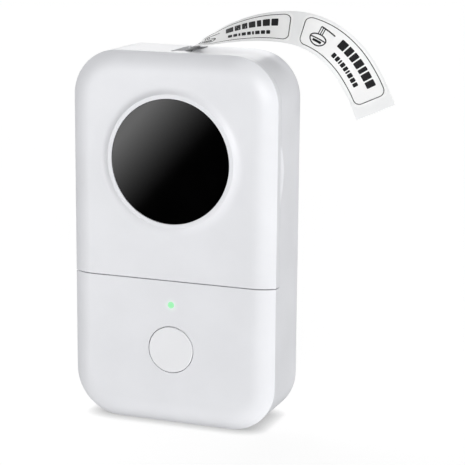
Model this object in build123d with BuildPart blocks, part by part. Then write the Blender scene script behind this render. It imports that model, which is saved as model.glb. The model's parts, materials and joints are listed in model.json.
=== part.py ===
"""Palm-size thermal label printer, in millimetres.

+Z is up, the front faces -Y, and the origin is the centre of the flat base.
"""
from build123d import *
from math import acos, atan2, cos, pi, radians, sin, sqrt, tan
import os

# ---------------------------------------------------------------- driving dimensions
# case
body_width = 75.0
body_height = 131.0
corner_radius = 16.4
front_y = -14.25            # flat front of the covers
back_y = 14.25
parting_y = -7.9            # plane between the rear shell and the covers
seam_z = 52.0               # seam between the lid and the lower panel
wall = 1.6
front_roll_run = 8.0        # the front rolls off over this width
front_roll_radius = 11.87
rear_roll_run = 5.0
rear_roll_radius = 6.04

# clearances
seam_gap = 0.35
lid_gap = 0.25              # lid to rear shell
panel_gap = 0.08            # lower panel to rear shell
running_gap = 0.06          # radial, round a pin or a shaft
slip_gap = 0.2              # between pieces that are assembled side by side
screw_gap = 0.02            # radial, between a screw and its pilot hole
lens_gap = 0.08             # radial, lens to lid
guide_gap = 0.05            # radial, light guide to panel
beyond = 50.0               # reach of a cutting box past the case

# window
window_z = 94.0
window_radius = 21.65
window_rim = 1.55
window_flank = 3.5
window_height = 1.2
lens_flange = 1.3
lens_thickness = 1.6
lens_flange_thickness = 0.8

# power button, status light
button_z = 27.3
button_radius = 8.2
button_gap = 0.28
button_proud = 0.25
button_travel = 0.5
light_z = 43.4
light_radius = 1.15

# lid hinge and latch
hinge_inset = 1.15          # hinge axis in from the left side
hinge_lead = 1.6            # hinge axis in front of the parting plane
knuckle_radius = 1.1
knuckle_length = 6.0
hinge_pin_radius = 0.5
hinge_heights = (64.0, 104.0)
notch_z = 91.3
notch_length = 19.5
notch_depth = 0.9
notch_reach = 3.2

# label roll and tape
tape_width = 14.0
tape_thickness = 0.16
tape_y = 1.7
roll_radius = 18.0
core_radius = 7.6
core_bore = 6.5
slot_left = -1.85
slot_right = 4.2
slot_y_margin = 0.6
exit_x = 1.5

# print station
platen_radius = 3.5
shaft_radius = 1.2
bush_radius = 2.2
nip_depth = 8.0             # from the top face down the tape to the nip
head_thickness = 1.0
arm_thickness = 1.5
head_reach = 13.5           # nip to the arm's pivot, along the tape
pivot_lift = 3.2
pivot_pin_radius = 1.0

# gear train
gear_module = 0.5
pressure_angle = 25.0
platen_teeth = 20
idler_teeth = 28
pinion_teeth = 14
backlash = 0.12
pin_head = 0.4              # thickness of the idler pin's head
train_gap = 0.25            # idler pin to the back wall
gear_width = 1.6
train_angle = -21.0
motor_radius = 7.5
motor_shaft_radius = 0.75
idler_pin_radius = 1.0

# chassis and boards
plate_y = 9.0               # front of the chassis plate
plate_thickness = 1.0
board_y = -3.5              # front of the main board
board_thickness = 1.0
board_width = 45.0
board_bottom = 2.4
board_top = 48.0
battery_size = (35.0, 7.0, 40.0)
battery_bottom = 3.6
pad_thickness = 0.5
screw_radius = 0.95
small_screw_radius = 0.7

# ---------------------------------------------------------------- derived places
back_inner_y = back_y - wall
front_inner_y = front_y + wall
side_inner_x = body_width / 2 - wall
hinge_x = hinge_inset - body_width / 2
hinge_y = parting_y - hinge_lead
top_inner_z = body_height - wall
middle_z = body_height / 2
gear_y = back_inner_y - train_gap - pin_head - gear_width
plate_back_y = plate_y + plate_thickness
tape_front_y = tape_y - tape_width / 2
tape_back_y = tape_y + tape_width / 2
exit_point = Vector(exit_x, 0, body_height)

# The tape leaves the roll's left side on a straight line to the slot.
exit_angle = atan2(body_height - window_z, exit_x)
exit_distance = sqrt(exit_x ** 2 + (body_height - window_z) ** 2)
touch_angle = exit_angle + acos((roll_radius + 0.15) / exit_distance)
touch_radius = roll_radius + 0.15
touch_point = Vector(touch_radius * cos(touch_angle), 0, window_z + touch_radius * sin(touch_angle))
tape_along = (exit_point - touch_point).normalized()
tape_up = Vector(-tape_along.Z, 0, tape_along.X)
nip = exit_point - tape_along * nip_depth
tape_side_gap = 0.06
platen_centre = nip - tape_up * (platen_radius + tape_side_gap + tape_thickness / 2)
pivot_centre = nip - tape_along * head_reach + tape_up * pivot_lift
head_low = tape_thickness / 2 + tape_side_gap
arm_low = head_low + head_thickness


def polar_offset(centre, distance, angle):
    """Point at a distance and an angle from a centre, in the XZ plane."""
    return centre + Vector(cos(radians(angle)), 0, sin(radians(angle))) * distance


platen_pitch_radius = gear_module * platen_teeth / 2
idler_pitch_radius = gear_module * idler_teeth / 2
pinion_pitch_radius = gear_module * pinion_teeth / 2
idler_centre = polar_offset(platen_centre, platen_pitch_radius + idler_pitch_radius, train_angle)
motor_centre = polar_offset(idler_centre, idler_pitch_radius + pinion_pitch_radius, train_angle)


# ---------------------------------------------------------------- helpers
def facing_front(y):
    """Plane across the case at y, with its normal to the front (-Y) and its sketch y up."""
    return Plane.XZ.offset(-y)


def along_tape(y):
    """Plane across the case at y, with x along the tape and its sketch y towards the head."""
    return Plane(origin=(nip.X, y, nip.Z), x_dir=(tape_along.X, 0, tape_along.Z), z_dir=(0, -1, 0))


def outline(grow, plane):
    """Sketch of the case outline, grown outwards."""
    with BuildSketch(plane) as result:
        with Locations((0, middle_z)):
            RectangleRounded(body_width + 2 * grow, body_height + 2 * grow, corner_radius + grow)
    return result.sketch


def rolled_form(face_y, rearward, roll_radius_out, roll_run, inset, end_y):
    """Solid under a face that rolls off to a crease at the outline, inset below its outside."""
    grow = roll_radius_out - roll_run - inset
    form_face_y = face_y + rearward * inset
    with BuildPart() as form:
        extrude(outline(grow, facing_front(form_face_y)), amount=-rearward * (back_y - front_y))
        end = form.faces().sort_by(Axis.Y)[0 if rearward > 0 else -1]
        fillet(end.edges(), roll_radius_out - inset)
        extrude(outline(-inset, facing_front(end_y)), amount=rearward * 40, mode=Mode.INTERSECT)
    return form.part


def box_between(low, high, mode=Mode.ADD):
    """Box given by its lowest and highest corners."""
    centre = [(a + b) / 2 for a, b in zip(low, high)]
    size = [b - a for a, b in zip(low, high)]
    with Locations(Location(tuple(centre))):
        Box(*size, mode=mode)


def rod(x, z, radius, y_front, y_back, mode=Mode.ADD):
    """Round bar along Y."""
    with BuildSketch(facing_front(y_back)) as disc:
        with Locations((x, z)):
            Circle(radius)
    extrude(disc.sketch, amount=y_back - y_front, mode=mode)


def upright(x, y, radius, z_low, z_high, mode=Mode.ADD):
    """Round bar along Z."""
    with BuildSketch(Plane.XY.offset(z_low)) as disc:
        with Locations((x, y)):
            Circle(radius)
    extrude(disc.sketch, amount=z_high - z_low, mode=mode)


def save(piece, name):
    """Label one finished piece and write it as its node's STEP file."""
    piece.part.label = name
    export_step(piece.part, f"parts/{name}.step")


os.makedirs("parts", exist_ok=True)

front_form = rolled_form(front_y, 1, front_roll_radius, front_roll_run, 0, parting_y)
front_hollow = rolled_form(front_y, 1, front_roll_radius, front_roll_run, wall, parting_y + 1)
rear_form = rolled_form(back_y, -1, rear_roll_radius, rear_roll_run, 0, parting_y)
rear_hollow = rolled_form(back_y, -1, rear_roll_radius, rear_roll_run, wall, parting_y - 1)

# ---------------------------------------------------------------- places shared by several pieces
lip_gap = 0.15
lip_thickness = 0.7
lip_reach = 1.2
hinge_relief = 16.35        # from the hinge axis to the near end of the lip
tongue_back_y = front_inner_y + 1.4
tongue_width = 60.0
tongue_top = seam_z + 5.4
front_screw_spots = [(-24.0, seam_z + 2.4), (24.0, seam_z + 2.4)]
front_screw_seat_y = front_inner_y + slip_gap + 1.3
front_boss_y = -9.35
rear_screw_spots = [(-27.0, 11.0), (27.0, 11.0)]
rear_screw_seat_y = 11.0
rear_boss_y = 8.0
boss_radius = 2.6
front_pilot_depth = 8.0
rear_pilot_depth = 6.0
board_pilot_depth = 5.0
plate_pilot_depth = 2.4
board_post_spots = [(-20.3, 8.5), (20.3, 8.5), (-20.3, 44.5), (20.3, 44.5)]
board_post_radius = 2.0
board_back_y = board_y + board_thickness
plate_boss_spots = [(-27.5, seam_z + 10), (27.5, seam_z + 10), (-28.2, window_z + 6), (28.2, window_z + 6)]
socket_size = (8.94, 3.2, 7.3)
socket_y = board_y - socket_size[1] / 2
socket_opening = (9.4, 3.6)
slot_front_y = tape_front_y - slot_y_margin
slot_back_y = tape_back_y + slot_y_margin
latch_z = notch_z
latch_half = 5.0
bead_y = -5.9
bead_radius = 0.45
ridge_y = -7.35
ridge_radius = 0.4
latch_arm_x = side_inner_x - 0.6
latch_arm_thickness = 1.0
latch_root_y = -12.0
latch_tip_y = -5.2
latch_end_gap = 0.5

# ---------------------------------------------------------------- rear shell
with BuildPart() as rear_shell:
    add(rear_form)
    add(rear_hollow, mode=Mode.SUBTRACT)
    # stepped lip that the covers close over
    extrude(outline(-wall + 0.01, facing_front(parting_y + 2)), amount=2)
    extrude(outline(-wall - lip_gap, facing_front(parting_y)), amount=lip_reach)
    extrude(outline(-wall - lip_gap - lip_thickness, facing_front(parting_y + 3)), amount=6,
            mode=Mode.SUBTRACT)
    # no lip where the lid's hinged edge swings, at the latch, at the seam and at the slot
    box_between((-beyond, -beyond, seam_z - 3), (hinge_x + hinge_relief, parting_y, body_height),
                mode=Mode.SUBTRACT)
    box_between((30, -12, latch_z - latch_half - 1), (side_inner_x, 0, latch_z + latch_half + 1),
                mode=Mode.SUBTRACT)
    # long bosses for the panel's upper screws, the main board and the chassis
    for x, z in front_screw_spots:
        rod(x, z, boss_radius, front_boss_y, back_inner_y + 0.4)
        rod(x, z, screw_radius + screw_gap, front_boss_y, front_boss_y + front_pilot_depth,
            mode=Mode.SUBTRACT)
    for x, z in board_post_spots:
        rod(x, z, board_post_radius, board_back_y, back_inner_y + 0.4)
        rod(x, z, small_screw_radius + screw_gap, board_back_y, board_back_y + board_pilot_depth,
            mode=Mode.SUBTRACT)
    for x, z in plate_boss_spots:
        rod(x, z, boss_radius, plate_back_y, back_inner_y + 0.4)
        rod(x, z, screw_radius + screw_gap, plate_back_y, plate_back_y + plate_pilot_depth,
            mode=Mode.SUBTRACT)
    # sunk seats for the screws from behind
    for x, z in rear_screw_spots:
        rod(x, z, boss_radius + 0.9, rear_boss_y, back_inner_y + 0.4)
        rod(x, z, 2.3, rear_screw_seat_y, back_y + 1, mode=Mode.SUBTRACT)
        rod(x, z, screw_radius + slip_gap, rear_boss_y - 1, rear_screw_seat_y, mode=Mode.SUBTRACT)
    # label slot, open to the front, with a bevel on its left edge
    box_between((slot_left, parting_y - 3, top_inner_z - 4), (slot_right, slot_back_y, body_height + 1),
                mode=Mode.SUBTRACT)
    with BuildSketch(facing_front(slot_back_y)):
        with BuildLine():
            Polyline((slot_left - 0.1, body_height - 1.1), (slot_left - 1.1, body_height),
                     (slot_left - 1.1, body_height + 1), (slot_left + 0.5, body_height + 1),
                     (slot_left + 0.5, body_height - 1.1), close=True)
        make_face()
    extrude(amount=slot_back_y - parting_y + 1, mode=Mode.SUBTRACT)
    # charging opening in the base
    with BuildSketch(Plane.XY.offset(-1)):
        with Locations((0, socket_y)):
            RectangleRounded(*socket_opening, socket_opening[1] / 2 - 0.05)
    extrude(amount=wall + 2, mode=Mode.SUBTRACT)
    # knuckles of the lid's hinge
    for z in hinge_heights:
        upright(hinge_x, hinge_y, knuckle_radius, z - knuckle_length / 2, z + knuckle_length / 2)
        box_between((hinge_x - knuckle_radius, hinge_y, z - knuckle_length / 2),
                    (hinge_x + knuckle_radius, parting_y + 1.5, z + knuckle_length / 2))
        upright(hinge_x, hinge_y, hinge_pin_radius, z - knuckle_length, z + knuckle_length,
                mode=Mode.SUBTRACT)
    # ridge that the lid's bead snaps over
    upright(side_inner_x, ridge_y, ridge_radius, latch_z - latch_half, latch_z + latch_half)
    # thumb notch: a shallow cone that runs out behind the lid's edge
    notch_radius = (notch_length ** 2 / 4 + notch_depth ** 2) / (2 * notch_depth)
    notch_floor_x = body_width / 2 - notch_depth
    notch_axis_x = notch_floor_x + notch_radius
    with BuildSketch(Plane.XY.offset(notch_z)):
        with BuildLine():
            Polyline((notch_floor_x, parting_y - 0.01), (body_width / 2, parting_y + notch_reach),
                     (notch_axis_x, parting_y + notch_reach), (notch_axis_x, parting_y - 0.01), close=True)
        make_face()
    revolve(axis=Axis((notch_axis_x, 0, notch_z), (0, 1, 0)), mode=Mode.SUBTRACT)
save(rear_shell, "rear_shell")

# ---------------------------------------------------------------- lower front panel
with BuildPart() as front_panel:
    add(front_form)
    add(front_hollow, mode=Mode.SUBTRACT)
    box_between((-beyond, -beyond, seam_z - seam_gap / 2), (beyond, beyond, body_height + beyond),
                mode=Mode.SUBTRACT)
    box_between((-beyond, parting_y - panel_gap, -beyond), (beyond, beyond, body_height),
                mode=Mode.SUBTRACT)
    # tongue behind the lid's lower edge, screwed to the rear shell
    box_between((-tongue_width / 2, front_inner_y - 0.2, seam_z - 6),
                (tongue_width / 2, tongue_back_y, seam_z - seam_gap / 2))
    box_between((-tongue_width / 2, front_inner_y + slip_gap, seam_z - seam_gap),
                (tongue_width / 2, tongue_back_y, tongue_top))
    for x, z in front_screw_spots:
        rod(x, z, 3.2, front_inner_y + slip_gap, front_boss_y - 0.05)
        rod(x, z, 2.1, front_inner_y - 1, front_screw_seat_y, mode=Mode.SUBTRACT)
        rod(x, z, screw_radius + slip_gap, front_screw_seat_y, front_boss_y, mode=Mode.SUBTRACT)
    # bosses for the screws from behind
    for x, z in rear_screw_spots:
        rod(x, z, boss_radius, front_inner_y - 0.3, rear_boss_y - 0.1)
        rod(x, z, screw_radius + screw_gap, rear_boss_y - rear_pilot_depth, rear_boss_y,
            mode=Mode.SUBTRACT)
    # hole for the power button, with a guide collar behind
    rod(0, button_z, button_radius + 2.6, front_inner_y, front_inner_y + 2.6)
    rod(0, button_z, button_radius + 1.3, front_inner_y, front_inner_y + 3, mode=Mode.SUBTRACT)
    rod(0, button_z, button_radius + button_gap, front_y - 1, front_inner_y + 1, mode=Mode.SUBTRACT)
    # hole for the light guide
    rod(0, light_z, light_radius + guide_gap, front_y - 1, front_inner_y + 1, mode=Mode.SUBTRACT)
save(front_panel, "front_panel")

# ---------------------------------------------------------------- lid
window_face_y = front_y - window_height
rim_radius = window_radius + window_rim
flank_arc = (window_flank ** 2 + window_height ** 2) / (2 * window_height)
lens_front_y = window_face_y + 0.1
lens_step_y = lens_front_y + lens_thickness
lens_back_y = lens_step_y + lens_flange_thickness
window_axis = Axis((0, 0, window_z), (0, 1, 0))
wedge_left = -24.2
wedge_width = 2.6
wedge_height = 3.0
wedge_tip_y = -3.6
wedge_stem_y = -9.2
wedge_stem_height = 6.0
tail_left = -23.6
tail_thickness = 1.4
tail_bottom = pivot_centre.Z - tail_thickness / 2
wedge_top = tail_bottom - 0.12
gate_left = slot_left + 0.35
gate_right = slot_right - 0.5

with BuildPart() as lid:
    add(front_form)
    add(front_hollow, mode=Mode.SUBTRACT)
    box_between((-beyond, -beyond, -beyond), (beyond, beyond, seam_z + seam_gap / 2), mode=Mode.SUBTRACT)
    box_between((-beyond, parting_y - lid_gap, -beyond), (beyond, beyond, body_height + beyond),
                mode=Mode.SUBTRACT)
    # raised round boss of the window: a flat rim and a flank that flares out into the face
    with BuildSketch(Plane.XY.offset(window_z)):
        with BuildLine():
            foot = (rim_radius + window_flank, front_y)
            top = (rim_radius, window_face_y)
            RadiusArc(foot, top, -flank_arc)
            Polyline(top, (0, window_face_y), (0, front_y + 0.4), (foot[0], front_y + 0.4), foot)
        make_face()
    revolve(axis=window_axis)
    # opening and seat for the lens
    rod(0, window_z, window_radius + lens_gap, front_y - 5, front_inner_y + 1, mode=Mode.SUBTRACT)
    rod(0, window_z, window_radius + lens_flange + lens_gap, lens_step_y, front_inner_y + 1,
        mode=Mode.SUBTRACT)
    # gate that closes the mouth of the label slot
    box_between((gate_left, parting_y - lid_gap - 1, top_inner_z), (gate_right, slot_front_y, body_height))
    # hinged edge rounded about the pin, so that it turns clear of the rear shell
    with BuildSketch(Plane.XY.offset(seam_z - 1)):
        with Locations((hinge_x - 2, hinge_y + 2)):
            Rectangle(4, 4)
        with Locations((hinge_x, hinge_y)):
            Circle(parting_y - hinge_y - 0.15, mode=Mode.SUBTRACT)
    extrude(amount=body_height, mode=Mode.SUBTRACT)
    # knuckles on both sides of each knuckle of the rear shell
    for z in hinge_heights:
        upright(hinge_x, hinge_y, knuckle_radius, z - knuckle_length, z + knuckle_length)
        box_between((hinge_x - 1.6, hinge_y - 1.6, z - knuckle_length / 2 - 0.1),
                    (hinge_x + knuckle_radius + 0.6, parting_y, z + knuckle_length / 2 + 0.1),
                    mode=Mode.SUBTRACT)
        upright(hinge_x, hinge_y, hinge_pin_radius + running_gap, z - knuckle_length - 1,
                z + knuckle_length + 1, mode=Mode.SUBTRACT)
    # springy latch arm with its bead, behind the thumb notch
    arm_low_z = latch_z - latch_half + latch_end_gap
    arm_high_z = latch_z + latch_half - latch_end_gap
    box_between((latch_arm_x - latch_arm_thickness, latch_root_y, arm_low_z),
                (latch_arm_x, latch_tip_y, arm_high_z))
    box_between((latch_arm_x - latch_arm_thickness / 2, latch_root_y, arm_low_z),
                (side_inner_x + 0.3, parting_y - lid_gap - 0.6, arm_high_z))
    upright(latch_arm_x, bead_y, bead_radius, arm_low_z, arm_high_z)
    # wedge that lifts the tail of the print head's arm while the lid is shut
    wedge_bottom = wedge_top - wedge_height
    box_between((wedge_left, front_inner_y - 0.5, wedge_bottom),
                (wedge_left + wedge_width, wedge_tip_y, wedge_top))
    box_between((wedge_left + 0.8, front_inner_y - 0.5, wedge_bottom - wedge_stem_height),
                (wedge_left + wedge_width - 0.8, wedge_stem_y, wedge_bottom))
save(lid, "lid")

with BuildPart() as window_lens:
    rod(0, window_z, window_radius, lens_front_y, lens_step_y)
    chamfer(window_lens.edges().sort_by(Axis.Y)[0], 0.15)
    rod(0, window_z, window_radius + lens_flange, lens_step_y, lens_back_y)
save(window_lens, "window_lens")

with BuildPart() as hinge_pins:
    for z in hinge_heights:
        upright(hinge_x, hinge_y, hinge_pin_radius, z - knuckle_length + 0.2, z + knuckle_length - 0.2)
save(hinge_pins, "hinge_pins")

# ---------------------------------------------------------------- power button and status light
switch_body = (6.0, 3.5, 6.0)
switch_front_y = board_y - switch_body[1]
plunger_radius = 1.6
plunger_front_y = switch_front_y - 1.1
button_front_y = front_y - button_proud
flange_front_y = front_inner_y + 0.05

with BuildPart() as power_button:
    rod(0, button_z, button_radius, button_front_y, flange_front_y)
    fillet(power_button.edges().sort_by(Axis.Y)[0], 0.3)
    rod(0, button_z, button_radius + 1.0, flange_front_y, flange_front_y + 0.8)
    rod(0, button_z, 1.9, flange_front_y + 0.8, plunger_front_y)
    for turn in range(4):
        with BuildSketch(facing_front(flange_front_y + 0.8)):
            with Locations((0, button_z)):
                SlotOverall(11, 0.8, rotation=45 * turn)
        extrude(amount=-0.6)
save(power_button, "power_button")

with BuildPart() as tact_switch:
    box_between((-switch_body[0] / 2, switch_front_y, button_z - switch_body[2] / 2),
                (switch_body[0] / 2, board_y, button_z + switch_body[2] / 2))
    chamfer(tact_switch.edges().filter_by(Axis.Y), 0.5)
    rod(0, button_z, plunger_radius + running_gap, switch_front_y - 1, board_y - 0.6, mode=Mode.SUBTRACT)
save(tact_switch, "tact_switch")

with BuildPart() as switch_plunger:
    rod(0, button_z, plunger_radius, plunger_front_y, board_y - 0.6 - button_travel - 0.1)
save(switch_plunger, "switch_plunger")

led_size = (1.6, 0.8, 1.6)
led_front_y = board_y - led_size[1]
with BuildPart() as light_guide:
    rod(0, light_z, light_radius, front_y + 0.03, led_front_y - 0.2)
    rod(0, light_z, light_radius + 0.9, front_inner_y, front_inner_y + 0.8)
    chamfer(light_guide.edges().sort_by(Axis.Y)[0], 0.08)
save(light_guide, "light_guide")

with BuildPart() as status_led:
    box_between((-led_size[0] / 2, led_front_y, light_z - led_size[2] / 2),
                (led_size[0] / 2, board_y, light_z + led_size[2] / 2))
    chamfer(status_led.faces().sort_by(Axis.Y)[0].edges(), 0.2)
save(status_led, "status_led")

# ---------------------------------------------------------------- main board and its pieces
with BuildPart() as main_board:
    box_between((-board_width / 2, board_y, board_bottom), (board_width / 2, board_back_y, board_top))
    chamfer(main_board.edges().filter_by(Axis.Y), 1.0)
    for x, z in board_post_spots:
        rod(x, z, small_screw_radius + slip_gap, board_y - 1, board_back_y + 1, mode=Mode.SUBTRACT)
save(main_board, "main_board")

chip_boxes = [
    ((-16, -0.9, 30), (-9, 0, 37)),
    ((9, -0.8, 31), (14, 0, 35)),
    ((-18, -2.2, 19), (-14, 0, 23)),
    ((13, -1.0, 20), (16.2, 0, 22.5)),
    ((-12, -1.6, 12.5), (-10, 0, 15.7)),
    ((10, -1.6, 12.5), (12, 0, 15.7)),
    ((14, -0.8, 26), (16, 0, 27.2)),
    ((-8, -0.8, 39), (-6, 0, 40.2)),
]
with BuildPart() as board_components:
    for low, high in chip_boxes:
        box_between((low[0], board_y + low[1], low[2]), (high[0], board_y, high[2]))
    rod(15.5, 39, 2.4, board_y - 4.6, board_y)
save(board_components, "board_components")

with BuildPart() as charging_socket:
    with BuildSketch(Plane.XY.offset(0.5)):
        with Locations((0, socket_y)):
            RectangleRounded(socket_size[0], socket_size[1], socket_size[1] / 2 - 0.05)
    extrude(amount=socket_size[2])
    with BuildSketch(Plane.XY.offset(0.5)):
        with Locations((0, socket_y)):
            RectangleRounded(socket_size[0] - 0.6, socket_size[1] - 0.6, socket_size[1] / 2 - 0.35)
    extrude(amount=6.2, mode=Mode.SUBTRACT)
    box_between((-3.3, socket_y - 0.35, 1.3), (3.3, socket_y + 0.35, 6.8))
save(charging_socket, "charging_socket")

with BuildPart() as board_screws:
    for x, z in board_post_spots:
        rod(x, z, 1.5, board_y - 1.0, board_y)
        rod(x, z, small_screw_radius, board_y, board_y + 5.2)
        with BuildSketch(facing_front(board_y - 1.0)):
            with Locations((x, z)):
                Rectangle(1.8, 0.4)
                Rectangle(0.4, 1.8)
        extrude(amount=-0.6, mode=Mode.SUBTRACT)
save(board_screws, "board_screws")

battery_back_y = back_inner_y - 0.05 - pad_thickness
battery_low = (-battery_size[0] / 2, battery_back_y - battery_size[1], battery_bottom)
battery_high = (battery_size[0] / 2, battery_back_y, battery_bottom + battery_size[2])
with BuildPart() as battery:
    box_between(battery_low, battery_high)
    fillet(battery.edges().filter_by(Axis.Z), 2.4)
save(battery, "battery")

with BuildPart() as battery_pad:
    box_between((-12, battery_back_y, 8), (12, back_inner_y - 0.05, 38))
save(battery_pad, "battery_pad")

plug_x = -6.0
plug_low_z = 41.6
plug_width = 5.2
plug_depth = 2.6
plug_high_z = plug_low_z + 4.6
with BuildPart() as battery_plug:
    box_between((plug_x - plug_width / 2, board_back_y, plug_low_z),
                (plug_x + plug_width / 2, board_back_y + plug_depth, plug_high_z))
    chamfer(battery_plug.edges().filter_by(Axis.Y), 0.3)
save(battery_plug, "battery_plug")

lead_radius = 0.45
lead_y = board_back_y + plug_depth / 2
lead_end_y = battery_back_y - battery_size[1] / 2
lead_top_z = battery_high[2] + 6.2
with BuildPart() as battery_leads:
    for x in (plug_x - 1.2, plug_x + 1.2):
        with BuildLine():
            FilletPolyline((x, lead_y, plug_high_z), (x, lead_y, lead_top_z), (x, lead_end_y, lead_top_z),
                           (x, lead_end_y, battery_high[2]), radius=2.6)
        with BuildSketch(Plane.XY.offset(plug_high_z)):
            with Locations((x, lead_y)):
                Circle(lead_radius)
        sweep()
save(battery_leads, "battery_leads")

# ---------------------------------------------------------------- chassis of the print mechanism
ring_inner = roll_radius + 1.6
ring_outer = ring_inner + 1.2
ring_start = 168.0
ring_end = 80.0
bracket_front_y = -7.5
bracket_back_y = -6.1
chassis_bottom = tongue_top + 0.4
right_pillar = ((8.4, 117.0), (11.0, 127.0))
left_pillar = ((-24.6, 119.5), (-22.2, 123.6))
spring_x = -19.2
spring_top = pivot_centre.Z + 6.3
spring_bottom = pivot_centre.Z + tail_thickness / 2
spring_radius = 1.6
motor_ear_reach = 10.0
motor_ear_angles = (134.6, -45.4)
motor_ear_spots = [polar_offset(motor_centre, motor_ear_reach, angle) for angle in motor_ear_angles]
cable_width = 7.0
cable_x = -13.2
cable_thickness = 0.25
cable_y = 11.4
cable_low_z = 44.6
cable_top_z = 120.2
sensor_low = -13.0
sensor_high = -9.0

with BuildPart() as chassis:
    # back plate, cut to the inside of the case
    extrude(outline(-wall - rear_roll_run + 1.2, facing_front(plate_back_y)), amount=plate_thickness)
    box_between((-beyond, plate_y - 1, -beyond), (beyond, plate_back_y + 1, chassis_bottom),
                mode=Mode.SUBTRACT)
    # round wall about the label roll, open where the tape leaves
    with BuildSketch(facing_front(plate_y)):
        with Locations((0, window_z)):
            Circle(ring_outer)
            Circle(ring_inner, mode=Mode.SUBTRACT)
        with BuildLine():
            far = 60
            start = (far * cos(radians(ring_start)), window_z + far * sin(radians(ring_start)))
            end = (far * cos(radians(ring_end)), window_z + far * sin(radians(ring_end)))
            Polyline((0, window_z), end, (0, window_z + far), (-far, window_z + far), start, close=True)
        make_face(mode=Mode.SUBTRACT)
    extrude(amount=plate_y + 6.0)
    # brackets at both sides of the tape for the platen and for the head's pivot
    for centre, hub_radius, pillar in ((platen_centre, 3.2, right_pillar), (pivot_centre, 2.4, left_pillar)):
        (x_low, z_low), (x_high, z_high) = pillar
        box_between((x_low, bracket_front_y, z_low), (x_high, plate_y, z_high))
        rod(centre.X, centre.Z, hub_radius, bracket_front_y, bracket_back_y)
        with BuildSketch(facing_front(bracket_back_y)):
            with BuildLine():
                if centre is platen_centre:
                    Polyline((centre.X, centre.Z + 3), (x_low + 1, z_high), (x_low + 1, z_low),
                             (centre.X, centre.Z - 3), close=True)
                else:
                    Polyline((centre.X, centre.Z + 2), (x_high - 1, z_high), (x_low, z_high),
                             (x_low, z_low), (centre.X - 1, centre.Z - 2.1), close=True)
            make_face()
        extrude(amount=bracket_back_y - bracket_front_y)
    for y_low, y_high in ((bracket_front_y - 1, bracket_back_y + 0.01), (plate_y - 1, plate_back_y + 1)):
        rod(platen_centre.X, platen_centre.Z, bush_radius, y_low, y_high, mode=Mode.SUBTRACT)
        rod(pivot_centre.X, pivot_centre.Z, pivot_pin_radius, y_low, y_high, mode=Mode.SUBTRACT)
    # seat of the head's spring
    box_between((left_pillar[0][0], -5.4, spring_top), (spring_x + 2.2, plate_y, spring_top + 1.2))
    # holder of the gap sensor, below the tape
    with BuildSketch(along_tape(plate_y)):
        with Locations(((sensor_low + sensor_high) / 2, -2.7)):
            Rectangle(sensor_high - sensor_low, 1.0)
    extrude(amount=plate_y + 1)
    # holes for the motor, its ears, the idler's pin, the roll post and the screws
    rod(motor_centre.X, motor_centre.Z, 2.7, plate_y - 1, plate_back_y + 1, mode=Mode.SUBTRACT)
    for spot in motor_ear_spots:
        rod(spot.X, spot.Z, small_screw_radius + screw_gap, plate_y - 1, plate_back_y + 1,
            mode=Mode.SUBTRACT)
    rod(idler_centre.X, idler_centre.Z, idler_pin_radius, plate_y - 1, plate_back_y + 1, mode=Mode.SUBTRACT)
    rod(0, window_z, 3.0, plate_y - 1, plate_back_y + 1, mode=Mode.SUBTRACT)
    for x, z in plate_boss_spots:
        rod(x, z, screw_radius + slip_gap, plate_y - 1, plate_back_y + 1, mode=Mode.SUBTRACT)
    # window for the flat cable
    box_between((cable_x - cable_width / 2 - 0.4, plate_y - 1, cable_top_z - 1.4),
                (cable_x + cable_width / 2 + 0.4, plate_back_y + 1, cable_top_z + 1.2), mode=Mode.SUBTRACT)
save(chassis, "chassis")


def cross_head_screws(spots, head_y, head_radius, head_height, shank_radius, length, rearward):
    """Group of cross-head screws along Y; rearward is 1 when they are driven from the front."""
    with BuildPart() as screws:
        for x, z in spots:
            head_ends = sorted((head_y, head_y - rearward * head_height))
            shank_ends = sorted((head_y, head_y + rearward * length))
            rod(x, z, head_radius, *head_ends)
            rod(x, z, shank_radius, *shank_ends)
            with BuildSketch(facing_front(head_y - rearward * head_height)):
                with Locations((x, z)):
                    Rectangle(head_radius * 1.2, head_radius * 0.28)
                    Rectangle(head_radius * 0.28, head_radius * 1.2)
            extrude(amount=-rearward * head_height * 0.6, mode=Mode.SUBTRACT)
    return screws


save(cross_head_screws(front_screw_spots, front_screw_seat_y, 1.9, 1.2, screw_radius, 7, 1), "front_screws")
save(cross_head_screws(rear_screw_spots, rear_screw_seat_y, 1.9, 1.3, screw_radius, 8, -1), "rear_screws")
save(cross_head_screws(plate_boss_spots, plate_y, 1.9, 1.2, screw_radius, 3.2, 1), "chassis_screws")

# ---------------------------------------------------------------- print head
arm_front_y = -5.6
arm_back_y = plate_y - 0.3
with BuildPart() as print_head:
    with BuildSketch(along_tape(arm_back_y)):
        with Locations((-3.0, head_low + head_thickness / 2)):
            Rectangle(9.0, head_thickness)
    extrude(amount=arm_back_y - arm_front_y)
save(print_head, "print_head")

with BuildPart() as head_arm:
    with BuildSketch(along_tape(arm_back_y)):
        with BuildLine():
            Polyline((-head_reach, arm_low), (1.0, arm_low), (1.0, arm_low + arm_thickness),
                     (-head_reach + 2.5, arm_low + arm_thickness), (-head_reach + 0.6, pivot_lift + 2.0),
                     (-head_reach - 1.0, pivot_lift + 1.2), (-head_reach - 1.0, arm_low + 0.9), close=True)
        make_face()
    with BuildSketch(facing_front(arm_back_y)):
        with Locations((pivot_centre.X, pivot_centre.Z)):
            Circle(2.0)
    extrude(amount=arm_back_y - arm_front_y)
    box_between((tail_left, arm_front_y, tail_bottom),
                (pivot_centre.X, arm_back_y - 4, tail_bottom + tail_thickness))
    rod(pivot_centre.X, pivot_centre.Z, pivot_pin_radius + running_gap, arm_front_y - 1, arm_back_y + 1,
        mode=Mode.SUBTRACT)
save(head_arm, "head_arm")

with BuildPart() as head_pivot_pin:
    rod(pivot_centre.X, pivot_centre.Z, pivot_pin_radius, bracket_front_y, plate_back_y)
save(head_pivot_pin, "head_pivot_pin")

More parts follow.
